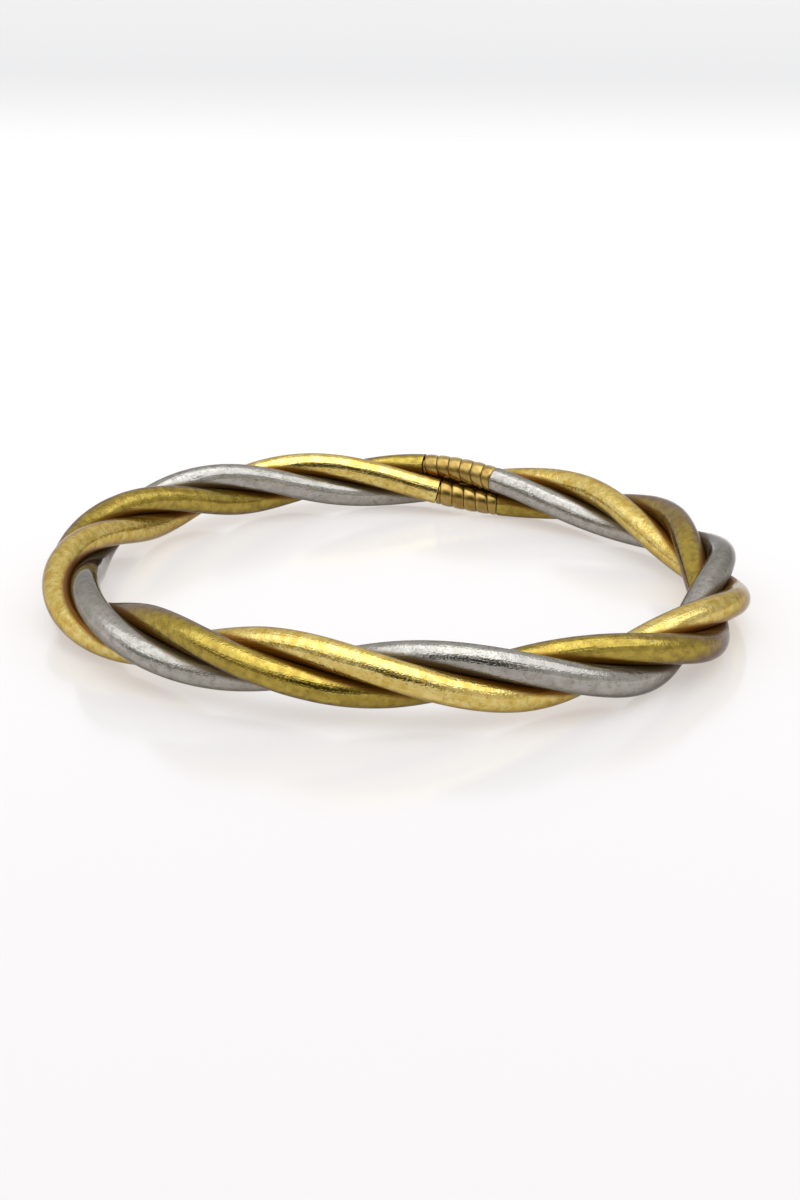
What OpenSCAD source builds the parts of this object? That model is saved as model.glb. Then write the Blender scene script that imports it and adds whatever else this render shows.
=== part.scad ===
// Bangle of three round strands, silver, bright gold and old gold, twisted into one closed ring.
// It lies on its side, level on the surface at z = 0, with its joins at the back (+Y).
// Each strand makes one round, and its end meets the start of the next colour inside a winding.

/* [Ring] */
// Mean clear width of the wrist hollow
inner_d = 65; // [55:0.5:90]

/* [Strands] */
// Outside diameter of one strand
strand_d = 3.2; // [2:0.1:4.5]
// Gap between neighbouring strands where they touch on the real bangle
strand_gap = 0.12; // [0.1:0.01:0.4]
// Whole turns of twist in one round, beyond the two thirds that bring each end to the next strand
whole_turns = 4; // [2:1:5]

/* [Joins] */
// Direction of the joins from the middle, in degrees, with 90 straight to the back
join_angle = 76; // [0:1:180]
// How far past this direction the lower, inner join lies, along its strand
inner_shift = 1.2; // [0:0.1:3]
// Direction in which the silver strand starts at its join, in degrees, with 90 straight up
silver_angle = 101; // [0:1:180]
// Gap between the two strand ends inside a winding
end_gap = 0.4; // [0.1:0.1:1]

/* [Windings] */
// Turns of the winding on the upper join
upper_turns = 6; // [3:1:8]
// Turns of the winding on the lower join, on the inner side
inner_turns = 5; // [3:1:8]
// Turns of the winding on the join hidden on the outer side
outer_turns = 5; // [3:1:8]
// Width of one turn of the flat winding wire, along the strand
wire_w = 1.6; // [0.8:0.02:1.8]
// Thickness of the winding wire
wire_t = 0.45; // [0.3:0.05:0.6]
// Gap between neighbouring turns
turn_gap = 0.07; // [0.05:0.01:0.2]
// Clearance between a winding and the neck and shoulders that it sits on
seat_gap = 0.06; // [0.05:0.01:0.1]

/* [Hidden] */

// Colours of the three metal leaves and of the winding wire
silver = [0.66, 0.65, 0.63];
gold = [0.85, 0.72, 0.34];
old_gold = [0.62, 0.52, 0.18];
wire = [0.80, 0.66, 0.38];

// Twist of the rope: three strands whose ends each move on by two places
strands = 3;
turns = whole_turns + 2 / strands;
strand_r = strand_d / 2;
// Distance of a strand from the middle of the rope, a little more than side by side because
// the leaning strands are wider across the rope than their diameter
upright_r = (strand_d + strand_gap) / sqrt(3);
lean = turns * upright_r / (inner_d / 2 + upright_r + strand_r);
lay_r = upright_r * (1 + lean * lean / 5);
// Middle line of the rope
ring_r = inner_d / 2 + lay_r + strand_r;
// Length of one strand along its own middle line
strand_len = 2 * PI * sqrt(ring_r * ring_r + pow(turns * lay_r, 2));

// Slow unevenness of a rope that is twisted and closed by hand, each row one cosine wave
// Columns: waves in one round, swing in degrees of twist, direction of the crest in degrees
twist_waves = [[1, 13, 146], [2, 12.5, 91], [3, 4, -25], [4, 2, 16]];
// Columns: waves in one round, height as a share of the ring's radius, direction of the crest
round_waves = [[2, 0.02, -34], [3, 0.0085, -40]];
// The same for the waves up and down, with the first row tilting the ring to lie level
height_waves = [[1, 0.012, 251], [2, 0.010, 78], [3, 0.0125, 16]];
function waves(table, angle) =
    [for (row = table) row[1] * cos(row[0] * (angle - row[2]))] * [for (row = table) 1];

// Middle line of strand k after a share s of its round, clockwise from the joins seen from above
// Silver is strand 0, and each next strand starts a third of a turn further on
function angle_at(s) = join_angle - 360 * s;
function middle(k, s) =
    let (angle = angle_at(s),
         twist = silver_angle + 360 * (turns * s + k / strands)
                 + waves(twist_waves, angle) - waves(twist_waves, join_angle),
         out = ring_r * (1 + waves(round_waves, angle)) + lay_r * cos(twist),
         up = ring_r * waves(height_waves, angle) + lay_r * sin(twist))
    [out * cos(angle), out * sin(angle), up];

// Directions at a point of a strand: along it, up across it, and sideways across it
function unit(v) = v / norm(v);
function along(k, s) = unit(middle(k, s + 0.0005) - middle(k, s - 0.0005));
function upward(t) = unit([0, 0, 1] - t[2] * t);

// Faces of a tube of closed sections, count sections of n points each, with flat ends
function tube_faces(count, n) = concat(
    [[for (i = [0:n - 1]) i]],
    [for (j = [0:count - 2], i = [0:n - 1])
        [j * n + i, (j + 1) * n + i, (j + 1) * n + (i + 1) % n, j * n + (i + 1) % n]],
    [[for (i = [n - 1:-1:0]) (count - 1) * n + i]]);

// The rope's lowest point and the middle of its outline, from all three strands' middle lines
outline_steps = 240;
rope = [for (k = [0:strands - 1], j = [0:outline_steps - 1]) middle(k, j / outline_steps)];
function low(axis) = min([for (p = rope) p[axis]]) - strand_r;
function high(axis) = max([for (p = rope) p[axis]]) + strand_r;
to_rest = -[(low(0) + high(0)) / 2, (low(1) + high(1)) / 2, low(2)];

// Joins: turns of the winding, and distance past the joins' direction, along the strand
upper_join = [upper_turns, 0];
inner_join = [inner_turns, inner_shift];
outer_join = [outer_turns, 0];

// Windings: their wire lies flush with the strands, on necks turned down to take it
neck_r = strand_r - wire_t - seat_gap;
turn_pitch = wire_w + turn_gap;
function winding_len(join) = join[0] * turn_pitch;
// Length of neck that a winding needs on each of the two strand ends
function neck_len(join) = winding_len(join) / 2 + seat_gap;
shoulder_len = 0.1;

// Strand: round sections along the middle line, with a neck at each end
strand_sides = 16;
strand_sections = 108;
neck_sections = 3;
// Sections of one radius, spaced evenly from a distance along the strand to another
function sections(from, to, count, radius) =
    [for (j = [0:count]) [from + (to - from) * j / count, radius]];
function section_places(start, end) =
    let (body_from = start[1] + neck_len(start) + shoulder_len,
         body_to = strand_len + end[1] - neck_len(end) - shoulder_len)
    concat(
        sections(start[1] + end_gap / 2, body_from - shoulder_len, neck_sections, neck_r),
        sections(body_from, body_to, strand_sections, strand_r),
        sections(body_to + shoulder_len, strand_len + end[1] - end_gap / 2, neck_sections,
                 neck_r));
module strand(k, start, end) {
    places = section_places(start, end);
    points = [for (place = places)
        let (s = place[0] / strand_len, t = along(k, s), u = upward(t), v = cross(t, u))
        for (i = [0:strand_sides - 1])
            let (a = 360 * i / strand_sides)
            middle(k, s) + place[1] * (cos(a) * u + sin(a) * v)];
    translate(to_rest) polyhedron(points, tube_faces(len(places), strand_sides));
}

// Wire: flat, coiled right-handed round the join at the start of strand k, with its first and
// last turns ground away to lie flat against the shoulders
wire_steps = 16;
// Thinnest width of the ground wire, at its two tips
tip_w = 0.12;
// Wire section as shares of its width and thickness, with the outer edges rounded off
wire_section = [[0.5, 0], [0.5, 0.55], [0.3, 0.92], [0, 1], [-0.3, 0.92], [-0.5, 0.55],
                [-0.5, 0]];
module winding(k, join) {
    half = winding_len(join) / 2;
    last = (join[0] + 1) * wire_steps - 1;
    places = [for (j = [1:last])
        let (front = -half + turn_pitch * j / wire_steps,
             lo = max(-half, front - turn_pitch),
             hi = min(half, front - turn_gap))
        if (hi - lo > tip_w) [360 * j / wire_steps, lo, hi]];
    inside_r = neck_r + seat_gap;
    points = [for (place = places)
        let (turn = place[0], mid = (place[1] + place[2]) / 2, w = place[2] - place[1])
        for (corner = wire_section)
            let (s = (join[1] + mid + corner[0] * w) / strand_len,
                 t = along(k, s), u = upward(t), v = cross(t, u),
                 ray = cos(turn) * u + sin(turn) * v)
            middle(k, s) + (inside_r + corner[1] * wire_t) * ray];
    translate(to_rest) polyhedron(points, tube_faces(len(places), len(wire_section)));
}

module strand_silver() { color(silver) strand(0, upper_join, outer_join); }
module strand_gold() { color(gold) strand(2, outer_join, inner_join); }
module strand_old_gold() { color(old_gold) strand(1, inner_join, upper_join); }
module winding_upper() { color(wire) winding(0, upper_join); }
module winding_inner() { color(wire) winding(1, inner_join); }
module winding_outer() { color(wire) winding(2, outer_join); }

strand_silver();
strand_gold();
strand_old_gold();
winding_upper();
winding_inner();
winding_outer();
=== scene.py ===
import math

import bpy
import numpy as np
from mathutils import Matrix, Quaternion, Vector


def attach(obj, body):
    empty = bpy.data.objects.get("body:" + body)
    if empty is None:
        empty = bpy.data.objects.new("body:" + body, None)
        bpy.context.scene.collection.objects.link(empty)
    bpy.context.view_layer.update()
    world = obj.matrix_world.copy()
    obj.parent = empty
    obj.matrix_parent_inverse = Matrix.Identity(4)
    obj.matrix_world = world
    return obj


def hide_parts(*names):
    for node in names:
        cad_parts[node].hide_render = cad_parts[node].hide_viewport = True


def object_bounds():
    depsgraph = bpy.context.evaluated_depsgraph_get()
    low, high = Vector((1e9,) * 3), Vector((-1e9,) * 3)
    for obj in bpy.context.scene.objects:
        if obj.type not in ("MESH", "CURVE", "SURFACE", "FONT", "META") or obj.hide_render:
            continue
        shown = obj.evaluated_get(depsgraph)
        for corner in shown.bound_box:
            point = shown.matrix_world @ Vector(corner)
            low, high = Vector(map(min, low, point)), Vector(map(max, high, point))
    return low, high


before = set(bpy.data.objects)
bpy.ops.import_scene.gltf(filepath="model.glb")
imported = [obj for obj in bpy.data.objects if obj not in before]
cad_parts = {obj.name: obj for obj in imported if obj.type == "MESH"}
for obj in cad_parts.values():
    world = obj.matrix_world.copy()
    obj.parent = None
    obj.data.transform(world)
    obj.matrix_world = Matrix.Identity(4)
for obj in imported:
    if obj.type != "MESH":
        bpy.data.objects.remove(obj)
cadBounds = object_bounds()
print("frame loaded:", len(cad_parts), "nodes")

mm = 0.001               # every size below is in millimetres times this, so it is in metres

# Rope: the three strands and how they are twisted
rope = {
    "innerWidth": 65 * mm,      # mean clear width of the wrist hollow
    "strandWidth": 3.2 * mm,
    "strandGap": 0.12 * mm,
    "strandCount": 3,
    "wholeTurns": 4,            # of twist in one round, and two thirds of a turn more
    "joinAngle": 76,            # degrees, where the strands meet their neighbours' ends
    "silverAngle": 101,         # degrees, where silver starts across the rope, 90 being up
    # slow waves of a rope twisted by hand: waves in one round, swing, direction of the crest
    # the twist's swing is in degrees, the other two's is a share of the ring's radius
    "twistWaves": [[1, 13, 146], [2, 12.5, 91], [3, 4, -25], [4, 2, 16]],
    "roundWaves": [[2, 0.02, -34], [3, 0.0085, -40]],
    "heightWaves": [[1, 0.012, 251], [2, 0.010, 78], [3, 0.0125, 16]],
}
strandRadius = rope["strandWidth"] / 2
turns = rope["wholeTurns"] + 2 / rope["strandCount"]
# distance of a strand from the rope's middle, wider than side by side as the strands lean
uprightRadius = (rope["strandWidth"] + rope["strandGap"]) / math.sqrt(3)
lean = turns * uprightRadius / (rope["innerWidth"] / 2 + uprightRadius + strandRadius)
layRadius = uprightRadius * (1 + lean * lean / 5)
ringRadius = rope["innerWidth"] / 2 + layRadius + strandRadius
strandLength = 2 * math.pi * math.hypot(ringRadius, turns * layRadius)


# A sum of cosines: swing times cos(waves times (angle minus crest)), all angles in degrees
def waveSum(table, angle):
    return sum(swing * np.cos(np.radians(waves * (angle - crest))) for waves, swing, crest in table)


# Where strand k lies across the rope, in radians: the silver strand's angle, plus a full turn for
# each turn of twist so far, a third of a turn for each strand, and the waves since the joins
def twistAngle(k, share):
    angle = rope["joinAngle"] - 360 * share
    twist = (rope["silverAngle"] + 360 * (turns * share + k / rope["strandCount"])
             + waveSum(rope["twistWaves"], angle) - waveSum(rope["twistWaves"], rope["joinAngle"]))
    return np.radians(twist)


# Middle line of strand k: a point runs clockwise round the ring at the ring's radius, and circles
# it at the lay radius as it goes, turns times a round, both a little uneven
def middleLine(k, share):
    angle = rope["joinAngle"] - 360 * share
    twist, turned = twistAngle(k, share), np.radians(angle)
    out = ringRadius * (1 + waveSum(rope["roundWaves"], angle)) + layRadius * np.cos(twist)
    up = ringRadius * waveSum(rope["heightWaves"], angle) + layRadius * np.sin(twist)
    return np.stack([out * np.cos(turned), out * np.sin(turned), up], -1)


# The rope is laid where the CAD rope lies: middle of the outline over the origin, on the surface
wholeRound = np.linspace(0, 1, 2000)
allLines = np.concatenate([middleLine(k, wholeRound) for k in range(rope["strandCount"])])
cadLow, cadHigh = np.array(cadBounds[0]), np.array(cadBounds[1])
toRest = (cadLow + cadHigh) / 2 - (allLines.min(0) + allLines.max(0)) / 2
toRest[2] = cadLow[2] + strandRadius - allLines[:, 2].min()
ringCentre = Vector(toRest)


# Directions across a strand: along it is the difference of its middle line a small step each way,
# upward is +Z less its share of that, and sideways is square to both
def directions(k, share):
    step = 0.0002
    along = middleLine(k, share + step) - middleLine(k, share - step)
    along /= np.linalg.norm(along, axis=-1, keepdims=True)
    up = np.array([0.0, 0.0, 1.0]) - along[..., 2:3] * along
    up /= np.linalg.norm(up, axis=-1, keepdims=True)
    return up, np.cross(along, up)


# Object from a grid of points, rows by columns: each row is a closed section, joined to the next
# by quads, and the first and last rows are capped. Place is the surface's own position in mm.
# The mask for painted groove shade, where given, is 1 where the surface faces its neighbours and 0
# outside.
def tubeObject(name, grid, place, grooveShadeMask=None):
    rows, columns = grid.shape[:2]
    index = np.arange(rows * columns).reshape(rows, columns)
    ahead = np.roll(index, -1, axis=1)
    quads = np.stack([index[:-1], ahead[:-1], ahead[1:], index[1:]], -1).reshape(-1, 4)
    caps = [index[0, ::-1].tolist(), index[-1].tolist()]
    mesh = bpy.data.meshes.new(name)
    mesh.from_pydata(grid.reshape(-1, 3), [], quads.tolist() + caps)
    mesh.shade_smooth()
    leafPlace = mesh.attributes.new("leafPlace", "FLOAT_VECTOR", "POINT")
    leafPlace.data.foreach_set("vector", place.astype(np.float32).ravel())
    if grooveShadeMask is not None:
        grooveShadeShare = mesh.attributes.new("grooveShadeMask", "FLOAT", "POINT")
        grooveShadeShare.data.foreach_set("value", grooveShadeMask.astype(np.float32).ravel())
    piece = bpy.data.objects.new(name, mesh)
    bpy.context.collection.objects.link(piece)
    return piece


# Strands: round sections along the middle line, necked at both ends where the windings sit
strandFinish = {
    "sections": 1250,
    "sides": 60,
    "endGap": 0.4 * mm,         # between two strand ends inside a winding
    "shoulder": 0.10 * mm,      # length of the rounded shoulder
    "shoulderRows": 9,
    "seatGap": 0.03 * mm,       # clearance of a winding on its neck and shoulders
    "unevenness": 0.012,        # of the radius, dents and bulges of the soft tube
    "dentLength": 5.0 * mm,
    "dentSpread": (0.7, 2.5),   # shortest and longest dents, as shares of that length
    "dentWaves": 9,
    "dentLobes": 4,             # one more than the most waves round the strand
    "touchGap": 0.010 * mm,     # left between two strands, which bulge towards each other
    "touchReach": 0.01,         # share of the round, each way, in which the nearest point is sought
    "touchSteps": 81,
    # how squarely a side faces the rope's middle, 1 being straight at it
    "bulgeFull": 0.7,           # where it bulges fully
    # the next two set where shade is painted in the grooves between strands
    "grooveShadeStart": 0.03,       # where the groove's shade starts
    "grooveShadeSpan": 0.27,        # how much more until that shade is full
}
winding = {
    "wireWidth": 1.64 * mm,
    "wireThickness": 0.45 * mm,
    "turnGap": 0.03 * mm,
    "edgeHeight": 0.58,         # share of the thickness where the rounded top begins
    "squareness": 0.85,         # power of the sine that rounds the top, 1 being an ellipse
    "topPoints": 19,            # of the rounded top, in one section of the wire
    "tipWidth": 0.12 * mm,
    "fullFrom": 0.5,            # share of the full width from which the wire is fully thick
    "thinning": 0.5,            # power of the width by which its tips are thinner than that
    "paintedDepth": 0.5 * mm,   # of the whole thickness, in the surface's own position
    "stepsPerTurn": 96,
    "turnCounts": {"winding_upper": 6, "winding_inner": 5, "winding_outer": 5},
    # how far past the joins' direction each one lies, along its strand
    "shifts": {"winding_upper": 0.0, "winding_inner": 1.2 * mm, "winding_outer": 0.0},
}
neckRadius = strandRadius - winding["wireThickness"] - strandFinish["seatGap"]
turnPitch = winding["wireWidth"] + winding["turnGap"]


# Half of a winding's length: half its number of turns times the pitch
def halfWinding(node):
    return winding["turnCounts"][node] * turnPitch / 2


# Smooth bumps over the strand, the mean of a few sine waves: each is the sine of a full turn per
# wave length along the strand, plus its lobes times the angle around it, plus a settled phase
def softDents(distance, around, seed):
    draw = np.random.default_rng(seed)
    total = np.zeros(np.broadcast(distance, around).shape)
    for wave in range(strandFinish["dentWaves"]):
        length = strandFinish["dentLength"] * draw.uniform(*strandFinish["dentSpread"])
        lobes = draw.integers(0, strandFinish["dentLobes"])
        phase = draw.uniform(0, 2 * math.pi)
        swing = np.sin(2 * math.pi * distance / length + lobes * around + phase)
        total += swing / strandFinish["dentWaves"]
    return total


# Radius along a strand: the neck's under a winding, then a quarter round up to the full radius
def strandProfile(distance, neckEnd):
    rise = np.clip((distance - neckEnd) / strandFinish["shoulder"], 0, 1)
    return neckRadius + (strandRadius - neckRadius) * np.sqrt(1 - (1 - rise) ** 2)


# Bulge of strand k towards its neighbours: half of what is clear between it and the nearer one,
# which is the least distance between their middle lines less a strand's width and the gap that stays
def pressedBulge(k, share):
    reach = strandFinish["touchReach"]
    nearby = share + np.linspace(-reach, reach, strandFinish["touchSteps"])[:, None]
    others = [middleLine(other, nearby) for other in range(rope["strandCount"]) if other != k]
    own = middleLine(k, share)
    apart = np.min([np.linalg.norm(line - own, axis=-1) for line in others], axis=(0, 1))
    return (apart - rope["strandWidth"] - strandFinish["touchGap"]) / 2


# Strand k from one join to the next: each point is the middle line plus the radius times the ray
# from it. The radius is the profile's, less the dents outside, plus the bulge inside. A side's
# facing is its ray times the direction to the rope's middle: 1 straight at it, 0 sideways.
def makeStrand(node, k, startWinding, endWinding, seed):
    startJoin = winding["shifts"][startWinding]
    endJoin = strandLength + winding["shifts"][endWinding]
    startNeck = halfWinding(startWinding) + strandFinish["seatGap"]
    endNeck = halfWinding(endWinding) + strandFinish["seatGap"]
    first, last = startJoin + strandFinish["endGap"] / 2, endJoin - strandFinish["endGap"] / 2
    quarter = np.linspace(0, math.pi / 2, strandFinish["shoulderRows"])
    shoulder = strandFinish["shoulder"] * (1 - np.cos(quarter))
    body = np.linspace(startJoin + startNeck + shoulder[-1], endJoin - endNeck - shoulder[-1],
                       strandFinish["sections"])
    distance = np.concatenate([[first], startJoin + startNeck + shoulder[:-1], body,
                               endJoin - endNeck - shoulder[-2::-1], [last]])[:, None]
    around = np.linspace(0, 2 * math.pi, strandFinish["sides"], endpoint=False)[None, :]
    radius = np.minimum(strandProfile(distance - startJoin, startNeck),
                        strandProfile(endJoin - distance, endNeck))
    dent = (softDents(distance, around, seed) - 1) / 2 * strandFinish["unevenness"] * strandRadius
    onBody = np.clip((radius - neckRadius) / (strandRadius - neckRadius), 0, 1)
    share = distance[:, 0] / strandLength
    up, side = directions(k, share)
    ray = np.cos(around)[..., None] * up[:, None] + np.sin(around)[..., None] * side[:, None]

    turned, twist = np.radians(rope["joinAngle"] - 360 * share), twistAngle(k, share)
    outward = [np.cos(twist) * np.cos(turned), np.cos(twist) * np.sin(turned), np.sin(twist)]
    inward = -np.stack(outward, -1)
    facing = (ray * inward[:, None]).sum(-1)
    # painted shade in the grooves: 0 where the side faces sideways, rising to 1 as it faces the rope's
    # middle
    grooveShadeMask = np.clip((facing - strandFinish["grooveShadeStart"]) / strandFinish["grooveShadeSpan"], 0, 1)
    bulge = np.clip(facing / strandFinish["bulgeFull"], 0, 1) * pressedBulge(k, share)[:, None]
    radius = (radius + (dent * (1 - np.clip(facing, 0, 1)) + bulge) * onBody)[..., None]
    grid = middleLine(k, share)[:, None] + radius * ray + toRest
    flat = np.broadcast_arrays(distance, strandRadius * np.cos(around), strandRadius * np.sin(around))
    return tubeObject(node + "_leaf", grid, np.stack(flat, -1) / mm, grooveShadeMask)


# Winding: a flat wire carried right-handed round the join at the start of strand k. Its front edge
# moves on by one pitch a turn, its back edge lies one pitch behind, and both are held between the
# winding's two ends, which are square to the strand, so the first and last turns narrow to a tip.
def makeWinding(node, k):
    half = halfWinding(node)
    steps = winding["stepsPerTurn"]
    count = (winding["turnCounts"][node] + 1) * steps
    turned = np.arange(1, count) / steps
    front = -half + turnPitch * turned
    low = np.maximum(-half, front - turnPitch)
    high = np.minimum(half, front - winding["turnGap"])
    kept = high - low > winding["tipWidth"]
    turned, low, high = turned[kept], low[kept], high[kept]
    width = (high - low)[:, None]

    # wire section: upright edges, a low rounded top between them, and a flat underside
    arc = np.linspace(0, math.pi, winding["topPoints"])
    power = winding["squareness"]
    across = np.sign(np.cos(arc)) * np.abs(np.cos(arc)) ** power / 2
    across = np.concatenate([[0.5], across, [-0.5]])[None, :]
    crown = winding["edgeHeight"] + (1 - winding["edgeHeight"]) * np.sin(arc) ** power
    height = np.concatenate([[0], crown, [0]])[None, :]
    fullness = width / winding["wireWidth"] / winding["fullFrom"]
    thin = np.minimum(1, fullness) ** winding["thinning"]

    place = (low + high)[:, None] / 2 + across * width
    radius = neckRadius + strandFinish["seatGap"] + winding["wireThickness"] * height * thin
    share = (winding["shifts"][node] + place) / strandLength
    up, side = directions(k, share)
    angle = (2 * math.pi * turned)[:, None, None]
    ray = np.cos(angle) * up + np.sin(angle) * side
    grid = middleLine(k, share) + radius[..., None] * ray + toRest
    along = turned[:, None] * 2 * math.pi * strandRadius + 0 * place
    flat = [along, across * width, height * thin * winding["paintedDepth"]]
    return tubeObject(node + "_wire", grid, np.stack(flat, -1) / mm)


strands = {
    "strand_silver": makeStrand("strand_silver", 0, "winding_upper", "winding_outer", 11),
    "strand_old_gold": makeStrand("strand_old_gold", 1, "winding_inner", "winding_upper", 12),
    "strand_gold": makeStrand("strand_gold", 2, "winding_outer", "winding_inner", 13),
}
print("strands made:", {name: len(piece.data.polygons) for name, piece in strands.items()})
windings = {
    "winding_upper": makeWinding("winding_upper", 0),
    "winding_inner": makeWinding("winding_inner", 1),
    "winding_outer": makeWinding("winding_outer", 2),
}
print("windings made:", {name: len(piece.data.polygons) for name, piece in windings.items()})


# sRGB hex such as "d8b24a" to a linear colour: a share up to 0.04045 is divided by 12.92, and a
# higher one plus 0.055 is divided by 1.055 and raised to the power 2.4
def linear(hexColour):
    parts = [int(hexColour[i:i + 2], 16) / 255 for i in (0, 2, 4)]
    return [c / 12.92 if c <= 0.04045 else ((c + 0.055) / 1.055) ** 2.4 for c in parts] + [1]


# Adds a node: settings are its own properties, inputs are its sockets, each a value or a socket
def addNode(tree, kind, settings, inputs):
    node = tree.nodes.new("ShaderNode" + kind)
    for name, value in settings.items():
        setattr(node, name, value)
    for name, value in inputs.items():
        if isinstance(value, bpy.types.NodeSocket):
            tree.links.new(value, node.inputs[name])
        else:
            node.inputs[name].default_value = value
    return node


# Empty material and its node tree
def newMaterial(name):
    material = bpy.data.materials.new(name)
    material.use_nodes = True
    material.node_tree.nodes.clear()
    return material, material.node_tree


# Beaten metal leaf drawn into a clear PVC tube: a mirror crushed into fine cross wrinkles, seen
# through a smooth glossy skin. It gives bright and dark bands with ragged, sparkling edges.
leafFinish = {
    # noises: length along the strand and around it in mm, and detail
    "noises": {
        "crease": (1.8, 1.8, 2.0),          # soft dents of the lining
        "patch": (7.0, 7.0, 2.0),           # stretches where the leaf lies smooth or crushed
        "wrinkle": (0.20, 0.28, 1.5),       # the real 0.1 is too fine to show
        "grain": (0.17, 0.17, 0.5),         # the leaf's finest crumple
        "streak": (4.0, 0.22, 1.0),         # long creases from drawing the lining in
        "gape": (0.8, 0.8, 3.0),            # stretches where the torn edges stand open
        "fleck": (0.45, 0.45, 1.0),         # specks where the leaf is rubbed
        "mottle": (0.9, 0.9, 4.0),          # patches of the leaf's two body colours
    },
    # ranges: what is read, where it starts and stops to count, and the results there
    "ranges": {
        "crushed": ("patch", 0.4, 0.62, 0.6, 1.0),      # share of the wrinkles' height
        "open": ("gape", 0.54, 0.66, 0.0, 0.05),        # width of the torn edges, of a cell
        "flecked": ("fleck", 0.62, 0.68, 0.0, 0.3),     # share of the edge colour
        "mottled": ("mottle", 0.35, 0.65, 0.0, 1.0),    # share of the deep colour
        "rougher": ("patch", 0.35, 0.65, 0.75, 1.25),   # times the leaf's roughness
        # the last two fall in the grooves, where shade is painted
        "metallic": ("grooveShadeMask", 0.0, 1.0, 0.97, 0.65),
        "skin": ("grooveShadeMask", 0.0, 1.0, 0.6, 0.1),        # weight of the clear skin
    },
    # height of each bump, which lies on those before it
    "bumps": {"crease": 0.036 * mm, "streak": 0.030 * mm, "grain": 0.019 * mm,
              "wrinkle": 0.041 * mm},
    "crackCell": 1.1,           # mm between the leaf's torn edges
    "crackShare": 0.4,          # of the edge colour in a torn edge
    "grooveDulls": 0.3,         # roughness that the groove adds
    "skinRoughness": 0.04,
    "skinIndex": 1.48,
}


# Leaf under a clear skin. Colour: body to deep by the mottle, to the edge colour by torn edges and
# flecks, and to a painted shade in the grooves between strands. Each noise reads the place divided
# by its two lengths, and each range carries what it reads in a straight line from its ends to its
# results.
def leafMaterial(name, body, deep, edge, shade, roughness):
    material, tree = newMaterial(name)
    place = addNode(tree, "Attribute", {"attribute_name": "leafPlace"}, {}).outputs["Vector"]
    values = {"grooveShadeMask": addNode(tree, "Attribute", {"attribute_name": "grooveShadeMask"}, {}).outputs["Fac"]}
    for noise, (along, around, detail) in leafFinish["noises"].items():
        squeezed = addNode(tree, "VectorMath", {"operation": "MULTIPLY"},
                           {0: place, 1: [1 / along, 1 / around, 1 / around]})
        grained = addNode(tree, "TexNoise", {},
                          {"Vector": squeezed.outputs[0], "Scale": 1.0, "Detail": detail})
        values[noise] = grained.outputs[0]
    for result, (source, start, end, before, after) in leafFinish["ranges"].items():
        carried = addNode(tree, "MapRange", {}, {
            "Value": values[source], "From Min": start, "From Max": end,
            "To Min": before, "To Max": after})
        values[result] = carried.outputs[0]

    values["wrinkle"] = addNode(tree, "Math", {"operation": "MULTIPLY"},
                                {0: values["wrinkle"], 1: values["crushed"]}).outputs[0]
    below = {}
    for noise, height in leafFinish["bumps"].items():
        bumped = addNode(tree, "Bump", {}, {"Height": values[noise], "Distance": height, **below})
        below = {"Normal": bumped.outputs[0]}

    # torn edges of the leaf: thin broken lines between irregular cells, open where the noise is high
    cells = addNode(tree, "TexVoronoi", {"feature": "DISTANCE_TO_EDGE"},
                    {"Vector": place, "Scale": 1 / leafFinish["crackCell"]})
    crack = addNode(tree, "Math", {"operation": "LESS_THAN"},
                    {0: cells.outputs["Distance"], 1: values["open"]})
    torn = addNode(tree, "Math", {"operation": "MULTIPLY_ADD"},
                   {0: crack.outputs[0], 1: leafFinish["crackShare"], 2: values["flecked"]})

    # painted shade: between the strands the leaf's colour goes to a darker, browner shade, and it is
    # made duller
    colour = linear(body)
    layers = [(values["mottled"], deep), (torn.outputs[0], edge), (values["grooveShadeMask"], shade)]
    for amount, tone in layers:
        tinted = addNode(tree, "Mix", {"data_type": "RGBA"},
                         {"Factor": amount, 6: colour, 7: linear(tone)})
        colour = tinted.outputs[2]
    rough = addNode(tree, "Math", {"operation": "MULTIPLY"}, {0: values["rougher"], 1: roughness})
    duller = addNode(tree, "Math", {"operation": "MULTIPLY_ADD"},
                     {0: values["grooveShadeMask"], 1: leafFinish["grooveDulls"], 2: rough.outputs[0]})
    shader = addNode(tree, "BsdfPrincipled", {}, {
        "Base Color": colour, "Metallic": values["metallic"], "Roughness": duller.outputs[0],
        "Specular Tint": linear(edge), "Coat Weight": values["skin"],
        "Coat Roughness": leafFinish["skinRoughness"], "Coat IOR": leafFinish["skinIndex"], **below})
    addNode(tree, "OutputMaterial", {}, {"Surface": shader.outputs[0]})
    return material


# Brass winding wire, rolled flat and polished: warm highlights broken by fine lines along the wire
wireFinish = {
    "bright": "a68b46",
    "tarnished": "8c6d2a",
    "tarnishScale": 0.8,            # patches per mm
    "tarnishStart": 0.4,
    "tarnishFull": 0.65,
    "lineScale": [0.4, 9.0, 9.0],   # drawing lines per mm, along, across and through the wire
    "lineHeight": 0.006 * mm,
    "roughness": 0.27,
    "lacquer": 0.5,                 # weight of a thin clear coat
    "lacquerRoughness": 0.08,
    "lacquerIndex": 1.5,
}


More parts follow.
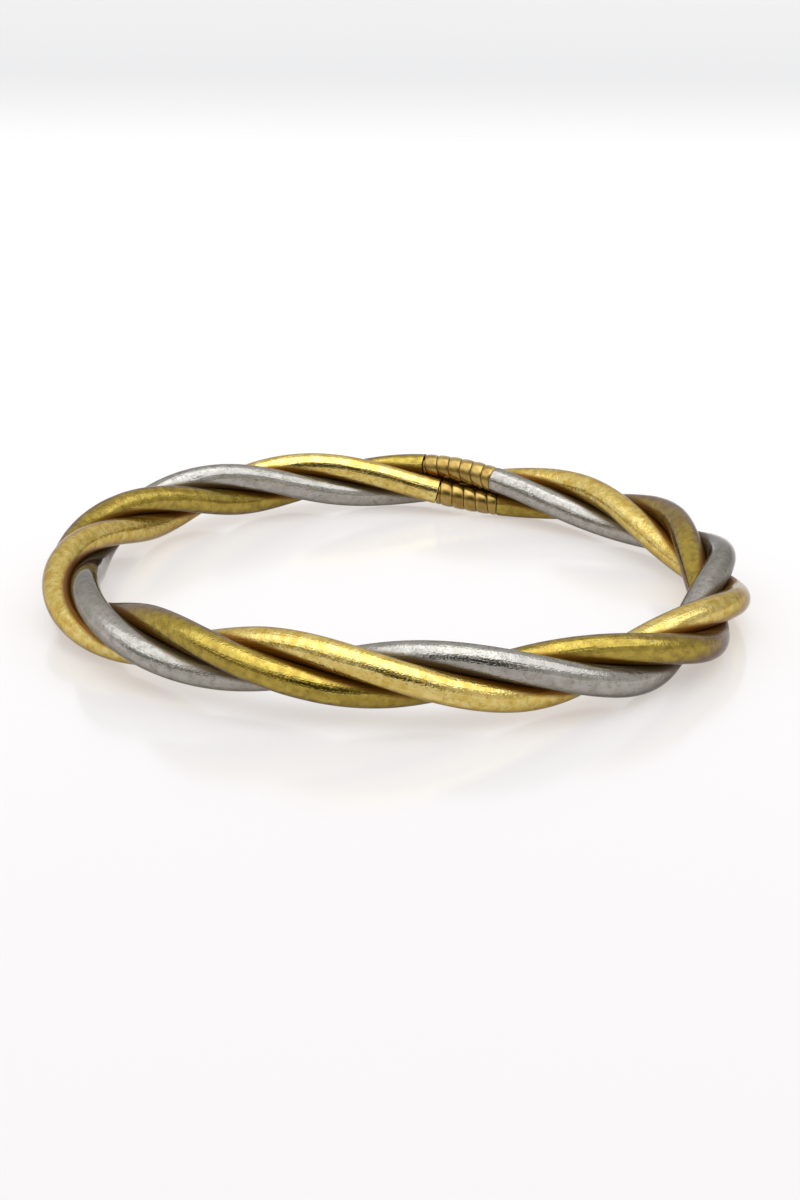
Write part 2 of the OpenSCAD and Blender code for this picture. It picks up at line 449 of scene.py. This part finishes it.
# Wire: the colour goes from bright to tarnished by a soft noise, and the bump is a noise of the
# place times the line scale, which draws it out along the wire
def wireMaterial(name):
    material, tree = newMaterial(name)
    place = addNode(tree, "Attribute", {"attribute_name": "leafPlace"}, {}).outputs["Vector"]
    drawn = addNode(tree, "VectorMath", {"operation": "MULTIPLY"},
                    {0: place, 1: wireFinish["lineScale"]})
    lines = addNode(tree, "TexNoise", {}, {"Vector": drawn.outputs[0], "Scale": 1.0, "Detail": 2.0})
    tarnish = addNode(tree, "TexNoise", {},
                      {"Vector": place, "Scale": wireFinish["tarnishScale"], "Detail": 3.0})
    worn = addNode(tree, "MapRange", {}, {
        "Value": tarnish.outputs[0], "From Min": wireFinish["tarnishStart"],
        "From Max": wireFinish["tarnishFull"]})
    colour = addNode(tree, "Mix", {"data_type": "RGBA"}, {
        "Factor": worn.outputs[0],
        6: linear(wireFinish["bright"]), 7: linear(wireFinish["tarnished"])})
    bumped = addNode(tree, "Bump", {}, {
        "Height": lines.outputs[0], "Distance": wireFinish["lineHeight"]})
    shader = addNode(tree, "BsdfPrincipled", {}, {
        "Base Color": colour.outputs[2], "Metallic": 1.0, "Roughness": wireFinish["roughness"],
        "Normal": bumped.outputs[0], "Coat Weight": wireFinish["lacquer"],
        "Coat Roughness": wireFinish["lacquerRoughness"],
        "Coat IOR": wireFinish["lacquerIndex"]})
    addNode(tree, "OutputMaterial", {}, {"Surface": shader.outputs[0]})
    return material


# Leaf colours of each strand: the body's two, the torn edges', and the painted shade of the grooves
leaves = {
    "strand_silver": {"name": "silver leaf under clear PVC", "body": "a4a098", "deep": "938e84",
                      "edge": "68645d", "shade": "5e4f34", "roughness": 0.095},
    "strand_gold": {"name": "bright gold leaf under clear PVC", "body": "d9c478", "deep": "c3a447",
                    "edge": "947d38", "shade": "764a0d", "roughness": 0.095},
    "strand_old_gold": {"name": "old gold leaf under clear PVC", "body": "a99337", "deep": "8d741f",
                        "edge": "6b6122", "shade": "68450f", "roughness": 0.095},
}
leafMaterials = {node: leafMaterial(**leaf) for node, leaf in leaves.items()}
wire = wireMaterial("polished brass wire")
for node, piece in strands.items():
    piece.data.materials.append(leafMaterials[node])
    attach(piece, "root")
    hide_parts(node)
for node, piece in windings.items():
    piece.data.materials.append(wire)
    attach(piece, "root")
    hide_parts(node)
print("materials set")

# Floor: white acrylic sheet, cast and polished, lit from below, which keeps shadows pale, with the
# light fading behind the bangle
floor = {
    "halfWidth": 3.0,
    "colour": "8d8f93",
    "roughness": 0.16,
    "index": 1.45,
    "glow": 0.50,
    "glowColour": "fff6ee",
    "fadeStart": 0.2,
    "fadeEnd": 0.65,
    "farGlow": 0.14,
}
corners = [(side * floor["halfWidth"], end * floor["halfWidth"], 0)
           for side, end in ((-1, -1), (1, -1), (1, 1), (-1, 1))]
floorMesh = bpy.data.meshes.new("floor")
floorMesh.from_pydata(corners, [], [(0, 1, 2, 3)])
floorPiece = bpy.data.objects.new("floor", floorMesh)
bpy.context.collection.objects.link(floorPiece)
floorMaterial, floorTree = newMaterial("white acrylic")
ownPlace = addNode(floorTree, "TexCoord", {}, {}).outputs["Object"]
away = addNode(floorTree, "SeparateXYZ", {}, {0: ownPlace}).outputs["Y"]
glow = addNode(floorTree, "MapRange", {"interpolation_type": "SMOOTHSTEP"}, {
    "Value": away, "From Min": floor["fadeStart"], "From Max": floor["fadeEnd"],
    "To Min": floor["glow"], "To Max": floor["farGlow"]})
floorShader = addNode(floorTree, "BsdfPrincipled", {}, {
    "Base Color": linear(floor["colour"]), "Roughness": floor["roughness"],
    "IOR": floor["index"], "Emission Color": linear(floor["glowColour"]),
    "Emission Strength": glow.outputs[0]})
addNode(floorTree, "OutputMaterial", {}, {"Surface": floorShader.outputs[0]})
floorMesh.materials.append(floorMaterial)

# Studio: a wide overhead panel that fades at its edges, a lamp for its brighter core, white walls,
# and the dark room behind the camera
studio = {
    "lampHeight": 3.0,
    "lampFront": -2.2,
    "lampBack": 0.9,
    "lampWidth": 1.8,
    "lampGlow": 0.95,
    "panelColour": "f6faff",
    "plainColour": "ffffff",
    "leftGlow": 0.98,
    "rightGlow": 0.72,
    "sidesMeet": 0.7,           # how far each way the left wall's glow goes over into the right's
    "roomLeft": 0.02,           # how far left of the camera the dark room's middle lies
    "ceilingLimit": 0.02,       # least rise at which a direction meets the ceiling
    "shownGlow": 1.0,           # of the backdrop itself
}
# Layers over the side walls, each over those before it: its glow, and its edges, each along one
# measure of the direction, from where it starts to where it ends, fading the layer in or out
layers = {
    "backWall": (0.97, [("depth", 0.1, 0.5, "in"), ("sideways", 0.3, 0.6, "out")]),
    "unlitCorner": (0.32, [("depth", -0.30, 0.05, "out"), ("side", -0.55, -0.25, "out"),
                           ("rise", 0.02, 0.08, "in"), ("rise", 0.22, 0.42, "out")]),
    "darkRoom": (0.04, [("depth", -0.90, -0.70, "out"), ("roomSide", 0.10, 0.70, "out"),
                        ("rise", 0.04, 0.14, "in")]),
    "panel": (2.3, [("ceilingDepth", -1.15, -0.65, "in"), ("ceilingDepth", 0.25, 0.55, "out"),
                    ("ceilingSide", 1.1, 2.4, "out")]),
    "table": (0.95, [("rise", -0.01, 0.03, "out")]),
}
fades = {"in": (0.0, 1.0), "out": (1.0, 0.0)}
lamp = bpy.data.lights.new("lamp", "AREA")
lamp.shape = "RECTANGLE"
lamp.size = studio["lampWidth"]
lamp.size_y = studio["lampBack"] - studio["lampFront"]
# it glows at its power divided by pi and by its area
lamp.energy = studio["lampGlow"] * math.pi * lamp.size * lamp.size_y
lamp.color = linear(studio["panelColour"])[:3]
lampPiece = bpy.data.objects.new("lamp", lamp)
lampPiece.location = (0, (studio["lampBack"] + studio["lampFront"]) / 2, studio["lampHeight"])
bpy.context.collection.objects.link(lampPiece)

world = bpy.data.worlds.new("studio")
bpy.context.scene.world = world
world.use_nodes = True
sky = world.node_tree
sky.nodes.clear()
way = addNode(sky, "TexCoord", {}, {}).outputs["Generated"]
parts = addNode(sky, "SeparateXYZ", {}, {0: way}).outputs
measures = {"side": parts["X"], "depth": parts["Y"], "rise": parts["Z"]}
shifted = addNode(sky, "Math", {"operation": "ADD"}, {0: parts["X"], 1: studio["roomLeft"]})
for measure, source in (("sideways", parts["X"]), ("roomSide", shifted.outputs[0])):
    measures[measure] = addNode(sky, "Math", {"operation": "ABSOLUTE"}, {0: source}).outputs[0]
# where the direction meets a ceiling one unit up
height = addNode(sky, "Math", {"operation": "MAXIMUM"}, {0: parts["Z"], 1: studio["ceilingLimit"]})
for measure, source in (("ceilingDepth", "depth"), ("ceilingSide", "sideways")):
    met = addNode(sky, "Math", {"operation": "DIVIDE"}, {0: measures[source], 1: height.outputs[0]})
    measures[measure] = met.outputs[0]

sides = addNode(sky, "MapRange", {"interpolation_type": "SMOOTHSTEP"}, {
    "Value": measures["side"], "From Min": -studio["sidesMeet"], "From Max": studio["sidesMeet"],
    "To Min": studio["leftGlow"], "To Max": studio["rightGlow"]})
brightness = sides.outputs[0]
cover = {}
for layer, (layerGlow, edges) in layers.items():
    cover[layer] = 1.0
    for measure, start, end, fade in edges:
        before, after = fades[fade]
        step = addNode(sky, "MapRange", {"interpolation_type": "SMOOTHSTEP"}, {
            "Value": measures[measure], "From Min": start, "From Max": end,
            "To Min": before, "To Max": after})
        covered = addNode(sky, "Math", {"operation": "MULTIPLY"}, {0: step.outputs[0], 1: cover[layer]})
        cover[layer] = covered.outputs[0]
    laid = addNode(sky, "Mix", {}, {"Factor": cover[layer], 2: brightness, 3: layerGlow})
    brightness = laid.outputs[0]
seen = addNode(sky, "LightPath", {}, {}).outputs["Is Camera Ray"]
shown = addNode(sky, "Mix", {}, {"Factor": seen, 2: brightness, 3: studio["shownGlow"]})
tint = addNode(sky, "Mix", {"data_type": "RGBA"}, {
    "Factor": cover["panel"],
    6: linear(studio["plainColour"]), 7: linear(studio["panelColour"])})
background = addNode(sky, "Background", {}, {"Color": tint.outputs[2], "Strength": shown.outputs[0]})
addNode(sky, "OutputWorld", {}, {"Surface": background.outputs[0]})

# Camera: at the photo's height and distance, aimed a little below the ring's middle
view = {
    "elevation": 18.97,         # degrees
    "distance": 231.3 * mm,
    "lens": 60.9,
    "aimSide": 0.64 * mm,
    "aimDown": 4.07 * mm,
    "roll": 0.52,               # degrees
    "nearest": 0.01,            # anything nearer isn't shown
}
tilt = math.radians(view["elevation"])
spot = ringCentre + view["distance"] * Vector((0, -math.cos(tilt), math.sin(tilt)))
aim = ringCentre + Vector((view["aimSide"], 0, -view["aimDown"]))
cameraData = bpy.data.cameras.new("camera")
cameraData.lens = view["lens"]
cameraData.clip_start = view["nearest"]
camera = bpy.data.objects.new("camera", cameraData)
camera.location = spot
camera.rotation_mode = "QUATERNION"
camera.rotation_quaternion = ((aim - spot).to_track_quat("-Z", "Y")
                              @ Quaternion((0, 0, 1), math.radians(view["roll"])))
bpy.context.collection.objects.link(camera)
bpy.context.scene.camera = camera
bpy.context.scene.view_settings.view_transform = "Standard"
print("stage, light and camera set")
